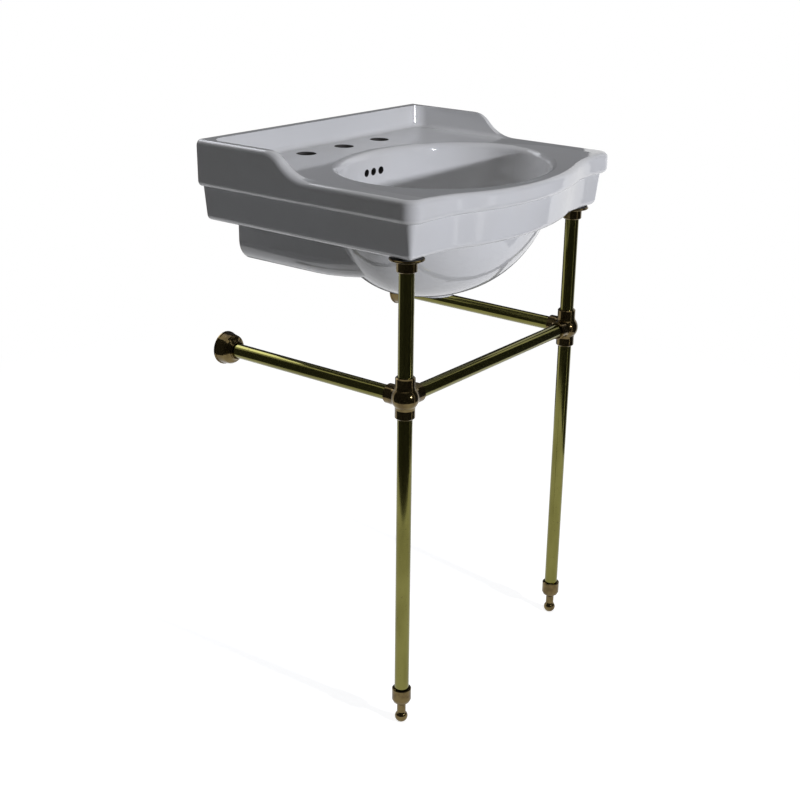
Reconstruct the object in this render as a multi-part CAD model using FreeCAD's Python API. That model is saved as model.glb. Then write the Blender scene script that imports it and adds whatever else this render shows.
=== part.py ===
import FreeCAD, Part
import math
import os

# Console sink: a glazed ceramic basin that hangs on a wall at its back and stands on
# two brass legs at its front. Millimetres. X runs to the right, the room is at -Y, the
# wall is at +Y and Z is up. The origin is on the floor, in the middle of the plan.

V = FreeCAD.Vector
UP = V(0, 0, 1)
SIDES = {"left": -1, "right": 1}

# ---- Basin: plan ----
basin_width = 596.0
side_depth = 452.0        # wall to the straight stretches of the front
bow = 40.0                # swell of the front's middle past those stretches
bow_radius = 500.0        # convex arc in the middle of the front
sweep_radius = 212.0      # concave arcs that lead into it
corner_radius = 24.0
least_corner = 4.0        # the round corners never get sharper than this further in

# ---- Basin: heights above the floor and mouldings ----
apron_z = 850.0           # underside of the apron, where the legs meet it
apron_height = 60.0
band_height = 38.0        # from the step up to the deck
splash_height = 40.0      # from the deck up to the top of the splash rim
step_inset = 12.0         # the apron stands this far behind the band above it
apron_taper = 7.0         # and leans in this much more at its foot
band_round = 11.0
apron_round = 12.0
rim_round = 10.0
ceramic_wall = 12.0
deck_thickness = 14.0

# ---- Basin: splash rim ----
splash_top = 16.0         # width of the rim's top along the wall
side_rim_top = 15.0       # and along the sides
rim_draft = 5.0           # lean of the rim's inner face
cove_radius = 10.0        # hollow between the rim's inner face and the deck
pocket_corner = 24.0       # in plan, round the rim's inner corners
ogee_start = 150.0        # wall to the place where the side rim starts to fall
ogee_run = 92.0           # length of its fall
ogee_crest_share = 0.36   # share of the two arcs' radii that the crest takes

# ---- Basin: bowl ----
bowl_centre = 298.0       # wall to the bowl's centre
bowl_half_width = 217.0
bowl_half_depth = 160.0
bowl_drop = 214.0
bowl_power = 2.4          # 2 would be a plain half ellipsoid
bowl_lean = 0.12          # how far the bowl leans to the wall on its way down
bowl_wall = 16.0
bowl_floor_radius = 20.0  # flat bottom, inside the outlet
lip_radius = 11.0
dish_centre = 386.0       # wall to the middle of the deck's shallow dish
dish_margin = 19.0        # the dish ends this far inside the front's round corners
dish_drop = 8.0

# ---- Basin: holes ----
tap_hole_diameter = 35.0
tap_hole_spacing = 101.6
tap_hole_from_wall = 66.0
overflow_hole_diameter = 13.0
overflow_hole_spacing = 20.0
overflow_below_deck = 37.0
overflow_channel = 11.0
overflow_width = 60.0
overflow_skin = 10.0
overflow_slot_height = 9.0
overflow_slot_width = 24.0
outlet_diameter = 45.0
outlet_seat_diameter = 64.0
outlet_seat_depth = 3.0
outlet_boss_diameter = 76.0
outlet_boss_below = 4.0

# ---- Basin: rear box that carries the basin on the wall ----
box_half_width = 207.0
box_drop = 86.0           # below the apron
box_corner_radius = 38.0
box_straight = 150.0      # wall to the place where its sides turn in to the bowl
nose_length = 170.0       # from there to its end inside the bowl
nose_narrowing = 44.0     # how far each side turns in on that way
nose_lift = 16.0          # how far its floor rises
box_opening = 216.0       # width of the way in from below
hanger_spacing = 280.0
hanger_hole_diameter = 14.0
hanger_below_deck = 62.0

# ---- Leg frame ----
tube_diameter = 25.4
tube_wall = 1.2
leg_x = 250.0             # from the middle plane
leg_from_wall = 403.0
rail_z = 616.0            # height of the crossbar and the side rails
fit = 0.08                # radial clearance between a tube and its socket
pad_thickness = 2.0
pad_diameter = 52.0
pad_hole_diameter = 12.0

flange_diameter = 57.0
flange_thickness = 4.0
flange_collar_diameter = 34.0
flange_collar_length = 18.5
flange_web = 3.0          # metal left above the socket
flange_edge = 1.2         # bevels of its edges

ball_diameter = 46.0
socket_diameter = 33.4
socket_reach = 35.5       # middle of the ball to the socket's rim
socket_floor = 14.0       # middle of the ball to the socket's floor
flare_foot = 12.0         # middle of the ball to the foot of the hollow round a socket
flare_top = 19.5          # and to its top
socket_lip = 1.8

screw_diameter = 5.0
screw_length = 5.0
screw_key = 2.5           # across the flats of the screw's key socket
screw_from_rim = 7.0

# ---- Wall end of the side rails ----
plate_diameter = 50.0
plate_thickness = 5.0
plate_spigot_length = 16.0
plate_hole_diameter = 4.5
plate_hole_circle = 38.0
plate_hole_count = 3
cover_diameter = 59.0
cover_depth = 30.0
cover_wall = 1.8
cover_rim_height = 3.0
cover_rim_step = 1.5      # the bell's side stands this far inside the rim
cover_lean = 1.5          # and leans in this much more
cover_round = 10.0        # round shoulder of the bell
cover_neck_diameter = 32.0
cover_neck_length = 6.0
cover_blend = 3.0         # between shoulder and neck
cover_edge = 1.0          # bevels of its edges
cover_fit = 0.08

# ---- Feet ----
cup_z = 70.0              # top of the cup
cup_diameter = 34.0
cup_height = 29.0
cup_floor_z = 46.0
cup_gap = 1.1             # radial gap between the tube and the cup
cup_foot_round = 7.0
cup_lip = 1.2             # bevel of the cup's rim
neck_diameter = 15.8
foot_ball_diameter = 23.0
foot_blend = 4.0          # hollow between ball and neck, and between neck and cup
tube_end_z = 52.0
stud_diameter = 8.0
stud_top_z = 100.0
stud_foot_z = 26.0
stud_fit = 0.05
stud_bevel = 1.0
plug_length = 26.0
plug_flange = 1.5

# ---- Places that follow from the sizes above ----
plan_depth = side_depth + bow
wall_y = plan_depth / 2
step_z = apron_z + apron_height
deck_z = step_z + band_height
rim_z = deck_z + splash_height
half_width = basin_width / 2
straight_y = wall_y - side_depth
leg_y = wall_y - leg_from_wall
bowl_y = wall_y - bowl_centre
outlet_y = bowl_y + bowl_lean * bowl_drop
tube_radius = tube_diameter / 2
flange_top_z = apron_z - pad_thickness
upper_tube_top = flange_top_z - flange_web
reach_past = 60.0         # how far a cutting solid runs past what it cuts


# ---- Small helpers ----
def wire(*curves):
    return Part.Wire([curve.toShape() for curve in curves])


def line(start, end):
    return Part.LineSegment(start, end)


def cylinder(radius, length, base, direction=UP):
    return Part.makeCylinder(radius, length, base, direction)


def block(x0, x1, y0, y1, z0, z1):
    return Part.makeBox(x1 - x0, y1 - y0, z1 - z0, V(x0, y0, z0))


def lathe(profile_wire, base=V(0, 0, 0), axis=UP):
    return Part.Face(profile_wire).revolve(base, axis, 360)


def aimed(shape, centre, direction):
    """Turn a shape made about +Z at the origin towards a direction, and move it."""
    turned = shape.copy()
    turned.Placement = FreeCAD.Placement(centre, FreeCAD.Rotation(UP, direction))
    return turned


def hollow_tube(start, end):
    """Brass tube between two points."""
    run = end - start
    outer = cylinder(tube_radius, run.Length, start, run)
    return outer.cut(cylinder(tube_radius - tube_wall, run.Length, start, run))


def level_edges(shape, z, tolerance=0.01):
    """Edges that lie at one height, without those on the wall face."""
    found = []
    for edge in shape.Edges:
        box = edge.BoundBox
        level = abs(box.ZMin - z) < tolerance and abs(box.ZMax - z) < tolerance
        if level and box.YMin < wall_y - tolerance:
            found.append(edge)
    return found


# ---- Basin ----
def plan_outline(inset, z):
    """Basin's plan at one height: straight sides, round corners and a front whose
    middle bows out between two hollow sweeps. It runs on past the wall face."""
    half = half_width - inset
    back = wall_y + reach_past
    front = straight_y + inset
    corner = max(corner_radius - inset, least_corner)
    nick = corner * (1 - math.sqrt(0.5))
    convex = bow_radius - inset
    hollow = sweep_radius + inset
    both = bow_radius + sweep_radius
    reach = math.sqrt(2 * bow * both - bow ** 2)
    turn = math.asin(reach / both)
    convex_y = straight_y - bow + bow_radius
    hollow_y = straight_y - sweep_radius

    def swell(angle):
        return V(convex * math.sin(angle), convex_y - convex * math.cos(angle), z)

    def sweep(side, angle):
        return V(side * (reach - hollow * math.sin(angle)), hollow_y + hollow * math.cos(angle), z)

    def corner_arc(side):
        on_side = V(side * half, front + corner, z)
        middle = V(side * (half - nick), front + nick, z)
        on_front = V(side * (half - corner), front, z)
        return on_side, middle, on_front

    left = corner_arc(-1)
    right = corner_arc(1)
    return wire(
        line(V(-half, back, z), left[0]),
        Part.Arc(*left),
        line(left[2], sweep(-1, 0)),
        Part.Arc(sweep(-1, 0), sweep(-1, turn / 2), sweep(-1, turn)),
        Part.Arc(swell(-turn), swell(0), swell(turn)),
        Part.Arc(sweep(1, turn), sweep(1, turn / 2), sweep(1, 0)),
        line(sweep(1, 0), right[2]),
        Part.Arc(right[2], right[1], right[0]),
        line(right[0], V(half, back, z)),
        line(V(half, back, z), V(-half, back, z)))


def behind(y):
    """Everything behind a plane that is parallel to the wall."""
    wide = basin_width
    return block(-wide, wide, y, y + 3 * reach_past, 0, rim_z + reach_past)


def rim_side_view():
    """Side view of the splash rim, extruded across the basin: level, then an S-shaped
    fall that ends flush with the deck."""
    turn = 2 * math.atan(splash_height / ogee_run)
    both = ogee_run / math.sin(turn)
    crest_radius = ogee_crest_share * both
    toe_radius = both - crest_radius
    start = wall_y - ogee_start
    end = start - ogee_run
    x = -basin_width
    back = wall_y + 2 * reach_past

    def crest(angle):
        return V(x, start - crest_radius * math.sin(angle), rim_z - crest_radius * (1 - math.cos(angle)))

    def toe(angle):
        return V(x, end + toe_radius * math.sin(angle), deck_z + toe_radius * (1 - math.cos(angle)))

    profile = wire(
        Part.Arc(toe(0), toe(turn / 2), toe(turn)),
        Part.Arc(crest(turn), crest(turn / 2), crest(0)),
        line(crest(0), V(x, back, rim_z)),
        line(V(x, back, rim_z), V(x, back, deck_z)),
        line(V(x, back, deck_z), toe(0)))
    return Part.Face(profile).extrude(V(2 * basin_width, 0, 0))


def pocket_section(height):
    """Outline of the space inside the splash rim at a height above the deck. The rim's
    inner face leans back."""
    lean = rim_draft * (1 - height / splash_height)
    half = half_width - side_rim_top - lean
    back = wall_y - splash_top - lean
    front = -plan_depth
    z = deck_z + height
    nick = pocket_corner * (1 - math.sqrt(0.5))

    def corner_arc(side):
        on_side = V(side * half, back - pocket_corner, z)
        middle = V(side * (half - nick), back - nick, z)
        on_back = V(side * (half - pocket_corner), back, z)
        return on_side, middle, on_back

    left = corner_arc(-1)
    right = corner_arc(1)
    return wire(
        line(V(-half, front, z), V(half, front, z)),
        line(V(half, front, z), right[0]),
        Part.Arc(*right),
        line(right[2], left[2]),
        Part.Arc(left[2], left[1], left[0]),
        line(left[0], V(-half, front, z)))


def pocket():
    """Space inside the splash rim, open to the front, with a cove round its floor. It
    runs on above the rim."""
    solid = Part.makeLoft([pocket_section(0), pocket_section(1.5 * splash_height)], True, True)
    foot = [edge for edge in level_edges(solid, deck_z) if edge.BoundBox.YMax > 1 - plan_depth]
    return solid.makeFillet(cove_radius, foot)


def splash_rim():
    """Rim along the wall and the sides, which stands on the deck."""
    upright = Part.Face(plan_outline(0, deck_z)).extrude(V(0, 0, splash_height))
    return upright.common(rim_side_view()).cut(pocket())


def rim_edges(shape):
    """Outer top edge of the basin: along both side rims and round the front."""
    found = []
    for edge in shape.Edges:
        box = edge.BoundBox
        high = box.ZMin > deck_z - 1.5 * dish_drop and box.YMin < wall_y - 1
        on_side = abs(abs(box.XMin) - half_width) < 0.01 and abs(box.XMax - box.XMin) < 0.01
        in_front = box.ZMax < deck_z + 0.01 and box.YMax < straight_y + corner_radius + 1
        if high and (on_side or in_front) and box.ZLength < band_height / 2 + splash_height:
            found.append(edge)
    return found


def upper_basin():
    """Band, deck and splash rim in one block."""
    slab = Part.Face(plan_outline(0, step_z)).extrude(V(0, 0, band_height))
    solid = slab.fuse(splash_rim()).cut(behind(wall_y)).removeSplitter()
    solid = solid.cut(dish())
    solid = solid.makeFillet(rim_round, rim_edges(solid))
    return solid.makeFillet(band_round, level_edges(solid, step_z))


def apron():
    """Tapered band below the step, rounded at its foot."""
    top = plan_outline(step_inset, step_z + 1)
    foot = plan_outline(step_inset + apron_taper, apron_z)
    solid = Part.makeLoft([top, foot], True, True).cut(behind(wall_y))
    return solid.makeFillet(apron_round, level_edges(solid, apron_z))


def underside_hollow():
    """Space under the deck, inside the apron, open below."""
    half = half_width - step_inset - apron_taper - ceramic_wall
    front = straight_y + step_inset + apron_taper + ceramic_wall
    solid = block(-half, half, front, wall_y - ceramic_wall, apron_z - 1, deck_z - deck_thickness)
    upright = [edge for edge in solid.Edges if edge.BoundBox.ZLength > ceramic_wall]
    return solid.makeFillet(corner_radius / 2, upright)


def leg_shelves(apron_solid):
    """Floors that close the hollow at the front corners, for the legs to bear on."""
    outer = half_width
    inner = leg_x - flange_diameter / 2 - ceramic_wall / 2
    rear = leg_y + flange_diameter / 2 + ceramic_wall / 2
    shelves = []
    for side in SIDES.values():
        x0, x1 = sorted((side * inner, side * outer))
        corner = block(x0, x1, -plan_depth, rear, apron_z, apron_z + ceramic_wall)
        shelves.append(apron_solid.common(corner))
    return shelves


def bowl_ring(half_x, half_y, down):
    """Oval of the bowl at a depth below the deck."""
    count = 16
    points = []
    for number in range(count):
        angle = 2 * math.pi * number / count
        points.append(V(half_x * math.cos(angle), bowl_y + bowl_lean * down + half_y * math.sin(angle),
                        deck_z - down))
    oval = Part.BSplineCurve()
    oval.interpolate(Points=points, PeriodicFlag=True)
    return Part.Wire([oval.toShape()])


def bowl_solid(grown=0.0):
    """Round-bottomed bowl form through ovals whose sizes follow a superellipse. The inside
    of the bowl, or that grown by a wall's thickness."""
    half_x = bowl_half_width + grown
    half_y = bowl_half_depth + grown
    drop = bowl_drop + grown
    rings = [bowl_ring(half_x, half_y, -reach_past / 2)]
    steps = 7
    for number in range(steps):
        angle = math.pi / 2 * number / steps
        share = math.cos(angle) ** (2 / bowl_power)
        down = drop * math.sin(angle) ** (2 / bowl_power)
        rings.append(bowl_ring(half_x * share, half_y * share, down))
    floor = bowl_floor_radius / half_x
    rings.append(bowl_ring(half_x * floor, half_y * floor, drop))
    return Part.makeLoft(rings, True, False)


def dish():
    """Shallow scoop of the deck, a piece of a large ball, deepest near the front edge."""
    dish_y = wall_y - dish_centre
    reach = math.hypot(half_width - corner_radius - dish_margin, dish_y - straight_y)
    radius = (reach ** 2 + dish_drop ** 2) / (2 * dish_drop)
    ball = Part.makeSphere(radius, V(0, dish_y, deck_z + radius - dish_drop))
    wide = basin_width
    return ball.common(block(-wide, wide, -wide, wide, deck_z - 2 * dish_drop, deck_z))


def box_profile(inset, along):
    """U-shaped section of the rear box with round lower corners, at a share of the way
    along its nose."""
    y = wall_y - box_straight - along * nose_length
    half = box_half_width - inset - nose_narrowing * along ** 2
    low = apron_z - box_drop + inset + nose_lift * along ** 2
    high = deck_z - deck_thickness / 2
    corner = box_corner_radius - inset
    nick = corner * (1 - math.sqrt(0.5))
    return wire(
        line(V(-half, y, high), V(-half, y, low + corner)),
        Part.Arc(V(-half, y, low + corner), V(-half + nick, y, low + nick), V(-half + corner, y, low)),
        line(V(-half + corner, y, low), V(half - corner, y, low)),
        Part.Arc(V(half - corner, y, low), V(half - nick, y, low + nick), V(half, y, low + corner)),
        line(V(half, y, low + corner), V(half, y, high)),
        line(V(half, y, high), V(-half, y, high)))


def box_form(inset):
    """Straight box from the wall, with a nose that turns in to the bowl."""
    straight = Part.Face(box_profile(inset, 0)).extrude(V(0, box_straight + reach_past, 0))
    nose = Part.makeLoft([box_profile(inset, along) for along in (0, 0.35, 0.7, 1)], True, False)
    return straight.fuse(nose)


def rear_box():
    """Box that joins the bowl to the wall, open to the back and in its floor."""
    half = box_opening / 2
    low = apron_z - box_drop
    end = wall_y - box_straight - nose_length
    way_in = block(-half, half, end, wall_y + 2 * reach_past, low - 1, low + nose_lift + 2 * ceramic_wall)
    return box_form(0).cut(box_form(ceramic_wall)).cut(way_in).cut(behind(wall_y))


def overflow_duct():
    """Duct on the back of the bowl, from the overflow holes down to the outlet."""
    half = overflow_width / 2
    body = bowl_solid(bowl_wall + overflow_channel + overflow_skin)
    floor = deck_z - bowl_drop - bowl_wall - outlet_boss_below
    return body.common(block(-half, half, outlet_y, wall_y, floor, deck_z - deck_thickness / 2))


def overflow_void():
    """Way of the overflow water, behind the bowl and into the outlet."""
    shell = bowl_solid(bowl_wall + overflow_channel).cut(bowl_solid(bowl_wall))
    half = overflow_width / 2 - overflow_skin
    floor = deck_z - bowl_drop - bowl_wall - outlet_boss_below + overflow_skin / 2 + 1
    top = deck_z - overflow_below_deck + overflow_hole_diameter
    channel = shell.common(block(-half, half, outlet_y + outlet_diameter / 2, wall_y, floor, top))
    slot_half = overflow_slot_width / 2
    slot = block(-slot_half, slot_half, outlet_y, outlet_y + outlet_boss_diameter,
                 floor, floor + overflow_slot_height)
    holes = []
    for place in (-1, 0, 1):
        start = V(place * overflow_hole_spacing, bowl_y, deck_z - overflow_below_deck)
        length = bowl_half_depth + bowl_wall + overflow_channel / 2
        holes.append(cylinder(overflow_hole_diameter / 2, length, start, V(0, 1, 0)))
    return channel.fuse([slot] + holes)


def lip_edge(shape):
    """Edge between the deck's dish and the bowl's wall."""
    found = []
    for edge in shape.Edges:
        box = edge.BoundBox
        in_height = deck_z - 1.5 * dish_drop < box.ZMin and box.ZMax < deck_z + 1
        round_bowl = box.XLength > 1.9 * bowl_half_width and box.YLength > 1.9 * bowl_half_depth
        if in_height and round_bowl and box.XLength < 2.1 * bowl_half_width:
            found.append(edge)
    return found


def tap_holes():
    tools = []
    for place in (-1, 0, 1):
        start = V(place * tap_hole_spacing, wall_y - tap_hole_from_wall, deck_z - reach_past / 2)
        tools.append(cylinder(tap_hole_diameter / 2, reach_past, start))
    return tools


def hanger_holes():
    tools = []
    for side in SIDES.values():
        start = V(side * hanger_spacing / 2, wall_y - reach_past / 2, deck_z - hanger_below_deck)
        tools.append(cylinder(hanger_hole_diameter / 2, reach_past, start, V(0, 1, 0)))
    return tools


def outlet_cut():
    """Waste outlet with the seat for its flange."""
    bowl_floor = deck_z - bowl_drop
    bore = cylinder(outlet_diameter / 2, 2 * reach_past, V(0, outlet_y, bowl_floor - reach_past))
    seat = cylinder(outlet_seat_diameter / 2, reach_past, V(0, outlet_y, bowl_floor - outlet_seat_depth))
    return [bore, seat]


def bowl_underside():
    """Outside of the bowl below the deck, with the boss round its outlet."""
    wide = basin_width
    below_deck = block(-wide, wide, -wide, wide, 0, deck_z - deck_thickness / 2)
    boss_z = deck_z - bowl_drop - bowl_wall - outlet_boss_below
    boss = cylinder(outlet_boss_diameter / 2, bowl_wall + outlet_boss_below, V(0, outlet_y, boss_z))
    return bowl_solid(bowl_wall).common(below_deck).fuse(boss)


def make_basin():
    lower = apron()
    shell = upper_basin().fuse(lower).cut(underside_hollow()).fuse(leg_shelves(lower))
    under = bowl_underside().fuse(rear_box()).fuse(overflow_duct())
    shell = shell.fuse(under).cut(bowl_solid())
    shell = shell.makeFillet(lip_radius, lip_edge(shell))
    return shell.cut(tap_holes() + hanger_holes() + outlet_cut()).cut(overflow_void())


# ---- Leg frame ----
def corner_profile():
    """Half section of one arm of the corner fitting, from inside the ball to its rim."""
    socket = socket_diameter / 2
    foot = V(math.sqrt((ball_diameter / 2) ** 2 - flare_foot ** 2), 0, flare_foot)
    nick = 1 - math.sqrt(0.5)
    bend = V(socket + nick * (foot.x - socket), 0, foot.z + nick * (flare_top - foot.z))
    points = [
        V(0, 0, 0),
        V(foot.x, 0, 0),
        foot,
        bend,
        V(socket, 0, flare_top),
        V(socket, 0, socket_reach - socket_lip),
        V(socket - socket_lip, 0, socket_reach),
        V(0, 0, socket_reach)]
    return Part.makePolygon(points + points[:1])


def arm_directions(side):
    """Up, down, back to the wall and in to the other leg."""
    return [V(0, 0, 1), V(0, 0, -1), V(0, 1, 0), V(-side, 0, 0)]


def screw_places(side):
    """Set screws of one corner fitting: place on the socket and way in. Each comes from
    the side that faces away from the room."""
    centre = V(side * leg_x, leg_y, rail_z)
    along = socket_reach - screw_from_rim
    rear = V(0, 1, 0)
    under = V(0, 0, -1)
    ways = [rear, rear, under, under]
    places = []
    for direction, way in zip(arm_directions(side), ways):
        places.append((centre + direction * along, way))
    return places


def make_corner_fitting(side):
    """Cast ball with four sockets. Tubes stop on the sockets' floors."""
    centre = V(side * leg_x, leg_y, rail_z)
    arm = lathe(corner_profile())
    body = Part.makeSphere(ball_diameter / 2)
    for direction in arm_directions(side):
        body = body.fuse(aimed(arm, V(0, 0, 0), direction))
    for direction in arm_directions(side):
        bore = cylinder(tube_radius + fit, socket_reach, V(0, 0, socket_floor))
        body = body.cut(aimed(bore, V(0, 0, 0), direction))
    body.translate(centre)
    for place, way in screw_places(side):
        body = body.cut(cylinder(screw_diameter / 2, socket_diameter / 2 + 1, place, way))
    return body


def set_screw(place, way):
    """Grub screw with a hexagonal key socket, seated on the tube."""
    base = place + way * tube_radius
    body = cylinder(screw_diameter / 2, screw_length, base, way)
    corner = screw_key / math.sqrt(3)
    points = [V(corner * math.cos(math.radians(60 * n)), corner * math.sin(math.radians(60 * n)), 0)
              for n in range(7)]
    key = Part.Face(Part.makePolygon(points)).extrude(V(0, 0, screw_length))
    return body.cut(aimed(key, base + way * (screw_length / 2), way))


def flange_screw_place(side):
    z = flange_top_z - flange_thickness - flange_collar_length + screw_from_rim
    return V(side * leg_x, leg_y, z), V(0, 1, 0)


def make_set_screws():
    screws = []
    for side in SIDES.values():
        for place, way in screw_places(side) + [flange_screw_place(side)]:
            screws.append(set_screw(place, way))
    return Part.makeCompound(screws)


def make_top_flange(side):
    """Disc under the basin with a collar that holds the leg's upper end."""
    centre = V(side * leg_x, leg_y, flange_top_z)
    radius = flange_diameter / 2
    collar = flange_collar_diameter / 2
    low = -flange_thickness - flange_collar_length
    edge = flange_edge
    blend = 2 * flange_edge
    points = [
        V(0, 0, 0),
        V(radius - edge, 0, 0),
        V(radius, 0, -edge),
        V(radius, 0, -flange_thickness + edge),
        V(radius - edge, 0, -flange_thickness),
        V(collar + blend, 0, -flange_thickness),
        V(collar, 0, -flange_thickness - blend),
        V(collar, 0, low + edge),
        V(collar - edge, 0, low),
        V(0, 0, low)]
    profile = Part.makePolygon(points + points[:1])
    body = lathe(profile)
    bore = cylinder(tube_radius + fit, -low, V(0, 0, -flange_web), V(0, 0, -1))
    body = body.cut(bore)
    body.translate(centre)
    place, way = flange_screw_place(side)
    return body.cut(cylinder(screw_diameter / 2, flange_diameter, place, way))


def make_pad(side):
    """Rubber washer between the flange and the glazed underside."""
    base = V(side * leg_x, leg_y, flange_top_z)
    return cylinder(pad_diameter / 2, pad_thickness, base).cut(
        cylinder(pad_hole_diameter / 2, pad_thickness, base))


def make_upper_leg(side):
    return hollow_tube(V(side * leg_x, leg_y, rail_z + socket_floor), V(side * leg_x, leg_y, upper_tube_top))


def make_lower_leg(side):
    return hollow_tube(V(side * leg_x, leg_y, tube_end_z), V(side * leg_x, leg_y, rail_z - socket_floor))


def make_side_rail(side):
    start = V(side * leg_x, leg_y + socket_floor, rail_z)
    return hollow_tube(start, V(side * leg_x, wall_y - plate_thickness, rail_z))


def make_crossbar():
    reach = leg_x - socket_floor
    return hollow_tube(V(-reach, leg_y, rail_z), V(reach, leg_y, rail_z))


# ---- Wall end ----
def make_wall_plate(side):
    """Disc that is screwed to the wall, with a spigot that carries the rail."""
    spigot = tube_radius - tube_wall - fit
    body = cylinder(plate_diameter / 2, plate_thickness, V(0, 0, 0))
    body = body.fuse(cylinder(spigot, plate_thickness + plate_spigot_length, V(0, 0, 0)))
    for number in range(plate_hole_count):
        angle = math.radians(90 + 360 / plate_hole_count * number)
        place = V(plate_hole_circle / 2 * math.cos(angle), plate_hole_circle / 2 * math.sin(angle), -1)
        body = body.cut(cylinder(plate_hole_diameter / 2, plate_thickness + 2, place))
    body.rotate(V(0, 0, 0), V(1, 0, 0), 90)
    body.translate(V(side * leg_x, wall_y, rail_z))
    return body


def bell_side(inset):
    """Points up the side of the wall cover's bell, the last on its shoulder."""
    foot = V(cover_diameter / 2 - cover_rim_step - inset, 0, cover_rim_height)
    shoulder = V(cover_neck_diameter / 2 + cover_blend - inset, 0, cover_depth - cover_neck_length - inset)
    width = foot.x - cover_lean - shoulder.x
    points = [foot]
    for degrees in (0, 30, 60, 90):
        angle = math.radians(degrees)
        points.append(V(shoulder.x + width * math.cos(angle), 0,
                        shoulder.z - cover_round * (1 - math.sin(angle))))
    return points


def make_wall_cover(side):
    """Bell-shaped cover that slides along the rail and hides the wall plate."""
    rim = cover_diameter / 2
    neck = cover_neck_diameter / 2
    edge = cover_edge
    bell = bell_side(0)
    neck_foot = V(neck, 0, bell[-1].z + cover_blend)
    outside = [
        V(0, 0, 0),
        V(rim, 0, 0),
        V(rim, 0, cover_rim_height - edge),
        V(rim - edge, 0, cover_rim_height)]
    outside += bell
    outside += [
        neck_foot,
        V(neck, 0, cover_depth - edge),
        V(neck - edge, 0, cover_depth),
        V(0, 0, cover_depth)]
    inside = bell_side(cover_wall)
    inside.insert(0, V(inside[0].x, 0, -edge))
    inside.insert(0, V(0, 0, -edge))
    inside.append(V(0, 0, inside[-1].z))
    outer = lathe(Part.makePolygon(outside + outside[:1]))
    hollow = lathe(Part.makePolygon(inside + inside[:1]))
    bore = cylinder(tube_radius + cover_fit, cover_depth + 2 * edge, V(0, 0, -edge))
    body = outer.cut(hollow).cut(bore)
    body.rotate(V(0, 0, 0), V(1, 0, 0), 90)
    body.translate(V(side * leg_x, wall_y, rail_z))
    return body


# ---- Feet ----
def make_leg_plug(side):
    """Threaded plug in the end of the leg, for the levelling stud."""
    base = V(side * leg_x, leg_y, tube_end_z)
    body = cylinder(tube_radius - tube_wall - fit, plug_length, base)
    body = body.fuse(cylinder(tube_radius - fit, plug_flange, base - UP * plug_flange))
    bore = cylinder(stud_diameter / 2 + stud_fit, plug_length + 2 * plug_flange, base - UP * plug_flange)
    return body.cut(bore)


def make_stud(side):
    """Levelling stud: its foot end is held in the casting, its top runs in the plug."""
    centre = V(side * leg_x, leg_y, stud_foot_z)
    radius = stud_diameter / 2
    length = stud_top_z - stud_foot_z
    body = cylinder(radius, length, centre)
    return body.makeChamfer(stud_bevel, level_edges(body, stud_top_z) + level_edges(body, stud_foot_z))


def foot_profile():
    """Half section of the foot casting: ball, waisted neck and cup."""
    ball = foot_ball_diameter / 2
    neck = neck_diameter / 2
    cup = cup_diameter / 2
    cup_foot = cup_z - cup_height
    swell = foot_blend
    waist_z = ball + math.sqrt((ball + swell) ** 2 - (neck + swell) ** 2)
    share = ball / (ball + swell)
    ball_end = V((neck + swell) * share, 0, ball + (waist_z - ball) * share)
    half_angle = (math.atan2(ball_end.z - ball, ball_end.x) - math.pi / 2) / 2
    ball_side = V(ball * math.cos(half_angle), 0, ball + ball * math.sin(half_angle))
    nick = 1 - math.sqrt(0.5)
    points = [
        ball_end,
        V(neck, 0, waist_z),
        V(neck, 0, cup_foot - swell),
        V(neck + swell, 0, cup_foot),
        V(cup - nick * cup_foot_round, 0, cup_foot + nick * cup_foot_round),
        V(cup, 0, cup_foot + cup_foot_round),
        V(cup, 0, cup_z - cup_lip),
        V(cup - cup_lip, 0, cup_z),
        V(0, 0, cup_z),
        V(0, 0, 0)]
    upper = [line(start, end) for start, end in zip(points, points[1:])]
    return wire(Part.Arc(V(0, 0, 0), ball_side, ball_end), *upper)


def make_foot(side):
    """Foot casting: a cup round the leg's end, a neck and a ball on the floor."""
    body = lathe(foot_profile())
    body = body.cut(cylinder(tube_radius + cup_gap, cup_z, V(0, 0, cup_floor_z)))
    body = body.cut(cylinder(stud_diameter / 2 + stud_fit, cup_z, V(0, 0, stud_foot_z)))
    body.translate(V(side * leg_x, leg_y, 0))
    return body


# ---- Output ----
def write(name, shape):
    shape.exportStep("parts/" + name + ".step")
    print(name, "solids", len(shape.Solids), "volume", round(shape.Volume), "valid", shape.isValid())


os.makedirs("parts", exist_ok=True)
write("basin", make_basin())
write("front_crossbar", make_crossbar())
write("set_screws", make_set_screws())
for side_name, side_sign in SIDES.items():
    write("rubber_pad_" + side_name, make_pad(side_sign))
    write("top_flange_" + side_name, make_top_flange(side_sign))
    write("upper_leg_" + side_name, make_upper_leg(side_sign))
    write("corner_fitting_" + side_name, make_corner_fitting(side_sign))
    write("lower_leg_" + side_name, make_lower_leg(side_sign))
    write("side_rail_" + side_name, make_side_rail(side_sign))
    write("wall_plate_" + side_name, make_wall_plate(side_sign))
    write("wall_cover_" + side_name, make_wall_cover(side_sign))
    write("leg_plug_" + side_name, make_leg_plug(side_sign))
    write("levelling_stud_" + side_name, make_stud(side_sign))
    write("foot_" + side_name, make_foot(side_sign))
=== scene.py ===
# %% [markdown]
# # A console washbasin, dressed for its photograph
# The real thing is a white glazed basin that hangs on a wall at its back and stands on
# two brass legs at its front. Its solid parts come ready made, at true size, in one
# frame: metres, Z up, the wall at +Y and the room at -Y. This lesson gives each part
# its finish, sets up the studio and places the camera.
# We start by loading the parts and keeping their box, which nothing here may outgrow.
# %% Load the parts
import math
import bpy
from mathutils import Matrix, Vector


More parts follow.
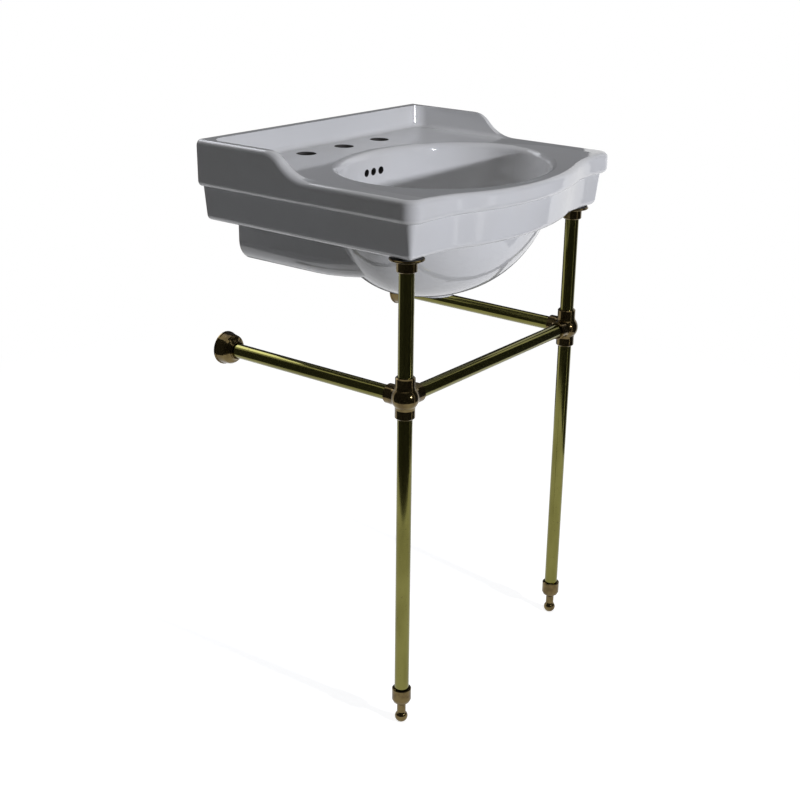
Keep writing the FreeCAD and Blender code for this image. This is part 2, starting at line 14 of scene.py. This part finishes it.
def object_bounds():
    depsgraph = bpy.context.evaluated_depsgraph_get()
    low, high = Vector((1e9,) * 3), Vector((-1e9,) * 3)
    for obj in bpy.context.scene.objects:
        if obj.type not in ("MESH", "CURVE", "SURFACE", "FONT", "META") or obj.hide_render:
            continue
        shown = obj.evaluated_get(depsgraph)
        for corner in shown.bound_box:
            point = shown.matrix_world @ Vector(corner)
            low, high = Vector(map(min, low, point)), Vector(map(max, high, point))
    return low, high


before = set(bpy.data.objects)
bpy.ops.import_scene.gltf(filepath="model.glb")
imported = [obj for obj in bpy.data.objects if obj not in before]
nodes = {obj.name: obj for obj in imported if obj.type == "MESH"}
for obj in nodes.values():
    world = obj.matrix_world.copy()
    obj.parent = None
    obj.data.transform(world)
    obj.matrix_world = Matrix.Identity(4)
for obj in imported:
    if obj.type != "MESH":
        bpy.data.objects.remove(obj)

part_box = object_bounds()
print("parts:", len(nodes), "box:", [tuple(round(v, 3) for v in corner) for corner in part_box])

# %% [markdown]
# ## The camera
# The photograph looks down on the basin from its left front corner. Its place, lens and
# small tilt were worked out from points that are easy to find both in the picture and
# on the object: tap holes, corners, the balls of the feet. The picture's frame is a
# little off the lens's axis, so the camera has a small shift.
# Azimuth 0 looks along +Y, and a negative one is to the left of that.
# %% Place the camera
picture_side = 800
focal_pixels = 1319.1
sensor_width = 36.0
lens_axis_pixel = Vector((451.0, 424.1))
camera_azimuth = math.radians(-54.751)
camera_elevation = math.radians(21.575)
camera_roll = math.radians(1.498)
camera_place = Vector((-1.8372, -1.3707, 1.3616))


def turned_view(azimuth, elevation, roll):
    """Rotation of a camera that looks at the object from a bearing, then rolls."""
    back = Vector((math.sin(azimuth) * math.cos(elevation),
                   -math.cos(azimuth) * math.cos(elevation),
                   math.sin(elevation)))
    right = Vector((math.cos(azimuth), math.sin(azimuth), 0))
    up = back.cross(right)
    level = Matrix((right, up, back)).transposed()
    return level @ Matrix.Rotation(roll, 3, "Z")


camera_data = bpy.data.cameras.new("picture_camera")
camera_data.sensor_width = sensor_width
camera_data.lens = focal_pixels * sensor_width / picture_side
camera_data.shift_x = (picture_side / 2 - lens_axis_pixel.x) / picture_side
camera_data.shift_y = (lens_axis_pixel.y - picture_side / 2) / picture_side
camera = bpy.data.objects.new("picture_camera", camera_data)
bpy.context.scene.collection.objects.link(camera)
camera.rotation_mode = "QUATERNION"
camera.location = camera_place
camera_turn = turned_view(camera_azimuth, camera_elevation, camera_roll)
camera.rotation_quaternion = camera_turn.to_quaternion()
bpy.context.scene.camera = camera
shift = [round(value, 3) for value in (camera_data.shift_x, camera_data.shift_y)]
print("lens", round(camera_data.lens, 1), "mm, shift", shift)

# %% [markdown]
# ## A short way to write materials
# A finish is a small sum: some noise, a mask, a mix of two colours. Written out as
# nodes and links it fills pages, so here is a wrapper that turns plain Python
# expressions on values into Math nodes. Colours go through Mix nodes instead, because
# a Math node would turn them grey.
# %% Wrap shader sockets
class Value:
    """A number in a shader, which can be added, multiplied and compared like any other."""

    def __init__(self, finish, socket):
        self.finish = finish
        self.socket = socket

    def with_math(self, operation, first, second=0.0):
        node = self.finish.node("ShaderNodeMath", {"operation": operation}, {0: first, 1: second})
        return Value(self.finish, node.outputs[0])

    def __add__(self, other):
        return self.with_math("ADD", self, other)

    def __radd__(self, other):
        return self.with_math("ADD", other, self)

    def __sub__(self, other):
        return self.with_math("SUBTRACT", self, other)

    def __rsub__(self, other):
        return self.with_math("SUBTRACT", other, self)

    def __mul__(self, other):
        return self.with_math("MULTIPLY", self, other)

    def __rmul__(self, other):
        return self.with_math("MULTIPLY", other, self)

    def __pow__(self, other):
        return self.with_math("POWER", self, other)

    def size(self):
        return self.with_math("ABSOLUTE", self)

    def at_most(self, other):
        return self.with_math("MINIMUM", self, other)

    def at_least(self, other):
        return self.with_math("MAXIMUM", self, other)


class Finish:
    """A material under construction."""

    def __init__(self, name):
        self.material = bpy.data.materials.new(name)
        self.material.use_nodes = True
        self.tree = self.material.node_tree
        self.tree.nodes.clear()
        self.output = self.tree.nodes.new("ShaderNodeOutputMaterial")

    def node(self, kind, settings=None, inputs=None):
        """A node of a type, with its settings and then its sockets' values or links."""
        made = self.tree.nodes.new(kind)
        for name, value in (settings or {}).items():
            setattr(made, name, value)
        for key, value in (inputs or {}).items():
            socket = made.inputs[key]
            source = getattr(value, "socket", value)
            if isinstance(source, bpy.types.NodeSocket):
                self.tree.links.new(source, socket)
            else:
                socket.default_value = source
        return made

    def place(self):
        """The point on the object that is being shaded, in metres."""
        return self.node("ShaderNodeTexCoord").outputs["Object"]

    def axes(self):
        """That point's three coordinates as values."""
        split = self.node("ShaderNodeSeparateXYZ", inputs={0: self.place()})
        return [Value(self, split.outputs[n]) for n in range(3)]

    def noise(self, scale, detail=2.0, stretch=(1, 1, 1), roughness=0.5):
        """Cloudy pattern from 0 to 1. A small stretch draws it out along that axis."""
        mapping = self.node("ShaderNodeMapping", inputs={"Vector": self.place(), "Scale": stretch})
        made = self.node("ShaderNodeTexNoise", inputs={
            "Vector": mapping.outputs[0], "Scale": scale, "Detail": detail, "Roughness": roughness})
        return Value(self, made.outputs["Fac"])

    def ramp(self, value, low, high):
        """0 below low, 1 above high, and a smooth rise between them."""
        made = self.node("ShaderNodeMapRange", {"interpolation_type": "SMOOTHSTEP"}, {
            "Value": value, "From Min": low, "From Max": high})
        return Value(self, made.outputs[0])

    def mix(self, mask, first, second):
        """First colour where the mask is 0, second where it is 1."""
        made = self.node("ShaderNodeMix", {"data_type": "RGBA"})
        mask_input, first_input, second_input = made.inputs[0], made.inputs[6], made.inputs[7]
        for socket, value in ((mask_input, mask), (first_input, first), (second_input, second)):
            source = getattr(value, "socket", value)
            if isinstance(source, bpy.types.NodeSocket):
                self.tree.links.new(source, socket)
            else:
                socket.default_value = source
        return made.outputs[2]

    def bump(self, height, distance, strength=1.0):
        made = self.node("ShaderNodeBump", inputs={
            "Height": height, "Distance": distance, "Strength": strength})
        return made.outputs[0]

    def surface(self, **inputs):
        """Ends the material in one Principled shader."""
        names = {name.replace("_", " "): value for name, value in inputs.items()}
        made = self.node("ShaderNodeBsdfPrincipled", inputs=names)
        self.tree.links.new(made.outputs[0], self.output.inputs[0])
        return self.material


def dress(material, *names):
    """Gives parts a finish in place of the plain one they came with."""
    for name in names:
        mesh = nodes[name].data
        mesh.materials.clear()
        mesh.materials.append(material)
        for face in mesh.polygons:
            face.material_index = 0
    print(material.name, "on", ", ".join(names))


def both(name):
    return [name + "_left", name + "_right"]


# %% [markdown]
# ## Glazed ceramic
# The basin is clay that was cast in a mould, glazed by spray and fired. The glaze is a
# layer of white glass, so it is very smooth and mirrors the room, yet never quite flat:
# it sagged a little while it melted. That slow waviness is what makes a reflection on a
# real basin swim. The colour is a soft white, thinner and a shade warmer here and there.
# The face against the wall has no glaze, because it stood on the kiln shelf. The walls
# of the tap holes and the overflow's duct get a near-black, rough colour: painted shade
# that stands in for the shadow inside them. The overflow's mask runs on to the back face
# too, where it paints three dark dots. We tell these places apart by where they are on
# the object: a distance from a hole's axis that is smaller than its radius makes a mask.
# %% Make the glaze
wall_plane = part_box[1].y
glaze_white = (0.80, 0.80, 0.80, 1)
glaze_warm = (0.77, 0.76, 0.74, 1)
bisque_colour = (0.62, 0.56, 0.47, 1)
bare_strip = 0.0015
# painted shade: near-black for the insides of the holes, where their shadow falls
hole_shade_colour = (0.045, 0.042, 0.038, 1)
tap_hole_radius = 0.0175
tap_hole_row = 0.180
tap_hole_spacing = 0.1016
tap_hole_foot = (0.925, 0.930)
overflow_radius = 0.0065
overflow_spacing = 0.020
overflow_height = 0.911
overflow_depths = (0.06, 0.08)
mask_edge = 0.0006


def round_mask(finish, across, other, spacing, radius):
    """1 within a radius of the nearest of three axes in a row, 0 outside."""
    nearest = (across.size() - spacing).size().at_most(across.size())
    from_axis = (nearest * nearest + other * other) ** 0.5
    return 1 - finish.ramp(from_axis, radius, radius + mask_edge)


def make_glaze():
    finish = Finish("white_glaze")
    across, depth, height = finish.axes()
    bare = finish.ramp(depth, wall_plane - bare_strip, wall_plane - bare_strip / 3)
    in_tap_hole = round_mask(
        finish, across, depth - tap_hole_row, tap_hole_spacing, tap_hole_radius)
    in_overflow = round_mask(
        finish, across, height - overflow_height, overflow_spacing, overflow_radius)
    in_deck = finish.ramp(height, *tap_hole_foot)
    in_rear_wall = finish.ramp(depth, *overflow_depths)
    # where shade is painted: the tap holes below the deck, and everything behind 0.08 m on the
    # overflow's axes, the back face included
    hole_shade_mask = (in_tap_hole * in_deck).at_least(in_overflow * in_rear_wall)
    thin_glaze = finish.ramp(finish.noise(6, 3), 0.42, 0.70)
    specks = finish.ramp(finish.noise(900, 1), 0.73, 0.78) * 0.25
    white = finish.mix(thin_glaze * 0.5, glaze_white, glaze_warm)
    speckled = finish.mix(specks, white, (0.52, 0.47, 0.40, 1))
    # the holes get painted shade in place of the glaze
    colour = finish.mix(hole_shade_mask, finish.mix(bare, speckled, bisque_colour), hole_shade_colour)
    sag = finish.noise(14, 1)
    skin = finish.noise(120, 2)
    grain = finish.noise(1500, 3) * bare
    height_map = sag * 0.6 + skin * 0.03 + grain * 0.2
    haze = finish.noise(40, 4) * 0.05
    return finish.surface(
        Base_Color=colour,
        Roughness=0.045 + haze + (bare + hole_shade_mask) * 0.7,
        IOR=1.52,
        Normal=finish.bump(height_map, 0.0006))


glaze = make_glaze()
dress(glaze, "basin")

# %% [markdown]
# ## Drawn brass tube
# The legs, rails and crossbar are one-inch brass tube. Drawing the tube through a die
# leaves fine lines along it, polishing rounds them off, and years of hands and damp
# turn the yellow to olive brown, in clouds that run along the tube. Metal has almost no
# colour of its own: what shows is the room, tinted. So the base colour is the tint of a
# mirror, and the lines only bend the reflection a little.
# A tube's lines must run along it, so each direction has a finish of its own.
# %% Make the tube brass
tube_bright = (0.175, 0.165, 0.048, 1)
tube_dull = (0.135, 0.126, 0.034, 1)


def make_tube_brass(name, along):
    finish = Finish(name)
    lines = tuple(0.02 if n == along else 1.0 for n in range(3))
    clouds = tuple(0.3 if n == along else 1.0 for n in range(3))
    tarnish = finish.ramp(finish.noise(26, 4, clouds), 0.35, 0.68)
    spots = finish.ramp(finish.noise(240, 2), 0.66, 0.74)
    drawn = finish.noise(900, 2, lines)
    colour = finish.mix(tarnish, tube_bright, tube_dull)
    spotted = finish.mix(spots * 0.5, colour, (0.06, 0.045, 0.02, 1))
    return finish.surface(
        Base_Color=spotted,
        Metallic=1.0,
        Roughness=0.07 + tarnish * 0.05 + spots * 0.12 + drawn * 0.03,
        Normal=finish.bump(drawn, 0.00004))


dress(make_tube_brass("upright_tube_brass", 2), *both("upper_leg"), *both("lower_leg"))
dress(make_tube_brass("rail_tube_brass", 1), *both("side_rail"))
dress(make_tube_brass("crossbar_tube_brass", 0), "front_crossbar")

# %% [markdown]
# ## Cast brass
# The fittings, flanges, covers and feet are cast and turned, then polished by hand. The
# alloy has more copper than the tube's, so it is redder, and the cast skin keeps a fine
# unevenness under the polish. Its tarnish lies in random patches, with small dark pits.
# %% Make the casting brass
casting_bright = (0.150, 0.112, 0.048, 1)
casting_dull = (0.095, 0.067, 0.030, 1)


def make_casting_brass():
    finish = Finish("cast_brass")
    patches = finish.ramp(finish.noise(60, 4), 0.38, 0.66)
    pits = finish.ramp(finish.noise(700, 2), 0.70, 0.76)
    skin = finish.noise(180, 3)
    colour = finish.mix(patches, casting_bright, casting_dull)
    pitted = finish.mix(pits * 0.6, colour, (0.05, 0.033, 0.016, 1))
    return finish.surface(
        Base_Color=pitted,
        Metallic=1.0,
        Roughness=0.08 + patches * 0.08 + pits * 0.2,
        Normal=finish.bump(skin * 0.6 - pits * 0.4, 0.00005))


cast_nodes = []
for part in ("corner_fitting", "top_flange", "foot", "wall_cover", "wall_plate", "leg_plug"):
    cast_nodes += both(part)
dress(make_casting_brass(), *cast_nodes)

# %% [markdown]
# ## Rubber and steel
# A thin rubber washer lets the ceramic settle on each metal flange. It is matt black
# with a dusty bloom. The levelling studs and set screws are plain steel, with the fine
# turning marks that a lathe leaves round them.
# %% Make rubber and steel
def make_rubber():
    finish = Finish("washer_rubber")
    bloom = finish.ramp(finish.noise(90, 4), 0.4, 0.75)
    grain = finish.noise(1200, 2)
    return finish.surface(
        Base_Color=finish.mix(bloom, (0.022, 0.022, 0.022, 1), (0.06, 0.058, 0.055, 1)),
        Roughness=0.62 + bloom * 0.2,
        Normal=finish.bump(grain, 0.00008))


def make_steel():
    finish = Finish("plain_steel")
    stain = finish.ramp(finish.noise(150, 4), 0.45, 0.7)
    turned = finish.noise(2400, 1, (0.05, 0.05, 1))
    return finish.surface(
        Base_Color=finish.mix(stain, (0.50, 0.49, 0.47, 1), (0.30, 0.27, 0.23, 1)),
        Metallic=1.0,
        Roughness=0.28 + stain * 0.2 + turned * 0.08,
        Normal=finish.bump(turned, 0.00003))


dress(make_rubber(), *both("rubber_pad"))
dress(make_steel(), "set_screws", *both("levelling_stud"))

# %% [markdown]
# ## The studio
# The object stands on pale paper with nothing behind it. The background is plain white
# for the camera and for mirror reflections, while the light that falls on matt
# surfaces stays at an ordinary level. Near the object the paper is a matt surface and
# keeps a soft shadow. Further out it fades into even white, so that no horizon shows.
# %% Build the floor and the world
floor_half = 40.0
paper_colour = (0.80, 0.80, 0.80, 1)
paper_glow = 0.77
paper_radius = 1.0
fade_radius = 2.1
ambient_level = 0.13


def seen_directly(finish):
    """1 for what the camera, a mirror or a glass shows, 0 for light on matt surfaces."""
    rays = finish.node("ShaderNodeLightPath")
    seen = Value(finish, rays.outputs["Is Camera Ray"])
    for name in ("Is Glossy Ray", "Is Transmission Ray"):
        seen = seen.at_least(Value(finish, rays.outputs[name]))
    return seen


def make_floor():
    bpy.ops.object.select_all(action="DESELECT")
    bpy.ops.mesh.primitive_plane_add(size=2 * floor_half, location=(0, 0, -0.0002))
    floor = bpy.context.object
    floor.name = "studio_floor"
    finish = Finish("studio_paper")
    across, depth, height = finish.axes()
    distance = (across * across + depth * depth) ** 0.5
    far = finish.ramp(distance, paper_radius, fade_radius)
    seen = seen_directly(finish)
    paper = finish.node("ShaderNodeBsdfDiffuse", inputs={"Color": paper_colour})
    glow = finish.node("ShaderNodeEmission", inputs={"Strength": seen * paper_glow})
    lit_paper = finish.node("ShaderNodeAddShader", inputs={0: paper.outputs[0], 1: glow.outputs[0]})
    white = finish.node("ShaderNodeEmission", inputs={"Strength": seen.at_least(ambient_level)})
    ground = finish.node("ShaderNodeMixShader", inputs={
        0: far, 1: lit_paper.outputs[0], 2: white.outputs[0]})
    finish.tree.links.new(ground.outputs[0], finish.output.inputs[0])
    floor.data.materials.append(finish.material)
    print("floor", 2 * floor_half, "m wide, paper to", paper_radius, "m")


def make_world():
    world = bpy.data.worlds.new("studio_world")
    bpy.context.scene.world = world
    world.use_nodes = True
    tree = world.node_tree
    tree.nodes.clear()
    rays = tree.nodes.new("ShaderNodeLightPath")
    seen = rays.outputs["Is Camera Ray"]
    for name in ("Is Glossy Ray", "Is Transmission Ray"):
        either = tree.nodes.new("ShaderNodeMath")
        either.operation = "MAXIMUM"
        tree.links.new(seen, either.inputs[0])
        tree.links.new(rays.outputs[name], either.inputs[1])
        seen = either.outputs[0]
    level = tree.nodes.new("ShaderNodeMapRange")
    tree.links.new(seen, level.inputs["Value"])
    level.inputs["To Min"].default_value = ambient_level
    level.inputs["To Max"].default_value = 1.0
    background = tree.nodes.new("ShaderNodeBackground")
    background.inputs["Color"].default_value = (1, 1, 1, 1)
    tree.links.new(level.outputs[0], background.inputs["Strength"])
    output = tree.nodes.new("ShaderNodeOutputWorld")
    tree.links.new(background.outputs[0], output.inputs[0])


make_floor()
make_world()

# %% [markdown]
# ## Light
# The key lamp stands low in front of the basin. Its light grazes the bowl's near lip,
# whose shadow draws a nearly straight line across the bowl. A broad weak lamp high
# behind the object lifts the deck and the back a little.
# A polished tube is a mirror: what it shows is the room. So three curved dark cloths
# stand round the object, unseen by the camera, and make the dark bands in the metal and
# the shade on the basin's left side. A narrow bright strip in the gap between the first
# two makes the thin line of light down each leg.
# A cloth is the wall of a cylinder, of which only the faces of one sector are kept.
# %% Set lamp, cloths and strip
aim = Vector((0, 0, 0.80))
daylight = (0.90, 0.92, 1.0)
cloth_grey = (0.13, 0.13, 0.125, 1)
cloth_radius = 1.15
cloth_top = 1.7
left_cloth_top = 1.9
strip_radius = 1.6
strip_top = 0.15
strip_glow = 5.0
wall_faces = 180


def bearing(azimuth, elevation, distance):
    """A place round the object: azimuth 0 is in front of it, positive to the right."""
    a = math.radians(azimuth)
    e = math.radians(elevation)
    direction = Vector((math.sin(a) * math.cos(e), -math.cos(a) * math.cos(e), math.sin(e)))
    return aim + distance * direction


def add_lamp(name, azimuth, elevation, distance, size, power):
    data = bpy.data.lights.new(name, "AREA")
    data.shape = "DISK"
    data.size = size
    data.energy = power
    data.color = daylight
    lamp = bpy.data.objects.new(name, data)
    bpy.context.scene.collection.objects.link(lamp)
    lamp.location = bearing(azimuth, elevation, distance)
    lamp.rotation_mode = "QUATERNION"
    lamp.rotation_quaternion = (lamp.location - aim).to_track_quat("Z", "Y")
    print(name, power, "W at", [round(v, 2) for v in lamp.location])


def add_screen(name, azimuths, radius, heights, material):
    """A curved upright screen between two azimuths and two heights."""
    low, high = heights
    bpy.ops.object.select_all(action="DESELECT")
    bpy.ops.mesh.primitive_cylinder_add(vertices=wall_faces, radius=radius, depth=high - low,
                                        end_fill_type="NOTHING", location=(0, 0, (low + high) / 2))
    screen = bpy.context.object
    screen.name = name
    bpy.ops.object.mode_set(mode="EDIT")
    bpy.ops.mesh.select_mode(type="FACE")
    bpy.ops.mesh.select_all(action="DESELECT")
    bpy.ops.object.mode_set(mode="OBJECT")
    for face in screen.data.polygons:
        azimuth = math.degrees(math.atan2(face.center.x, -face.center.y))
        face.select = not azimuths[0] < azimuth < azimuths[1]
    bpy.ops.object.mode_set(mode="EDIT")
    bpy.ops.mesh.delete(type="FACE")
    bpy.ops.object.mode_set(mode="OBJECT")
    screen.data.materials.append(material)
    screen.visible_camera = False
    screen.visible_shadow = False
    print(name, len(screen.data.polygons), "faces")
    return screen


def make_cloth():
    finish = Finish("black_cloth")
    return finish.surface(Base_Color=cloth_grey, Roughness=0.9)


def make_strip_glow():
    finish = Finish("bright_strip")
    glow = finish.node("ShaderNodeEmission", inputs={"Color": (1, 1, 1, 1), "Strength": strip_glow})
    finish.tree.links.new(glow.outputs[0], finish.output.inputs[0])
    return finish.material


cloth = make_cloth()
lamp_distance = 3.2
add_lamp("key_lamp", azimuth=-3, elevation=11.7, distance=lamp_distance, size=0.16, power=60)
add_lamp("back_lamp", azimuth=176, elevation=35, distance=lamp_distance, size=2.0, power=34)
add_screen("left_cloth", (-142, 15), cloth_radius, (0.0, left_cloth_top), cloth)
add_screen("right_cloth", (19, 64), cloth_radius, (0.0, cloth_top), cloth)
add_screen("rear_cloth", (106, 165), cloth_radius, (0.0, cloth_top), cloth)
strip = add_screen("bright_strip", (14, 20), strip_radius, (0.0, strip_top), make_strip_glow())
strip.visible_diffuse = False

# %% [markdown]
# ## The look of the picture
# Last comes the look of the picture, which stays plain.
# %% Finish
bpy.context.scene.view_settings.view_transform = "Standard"
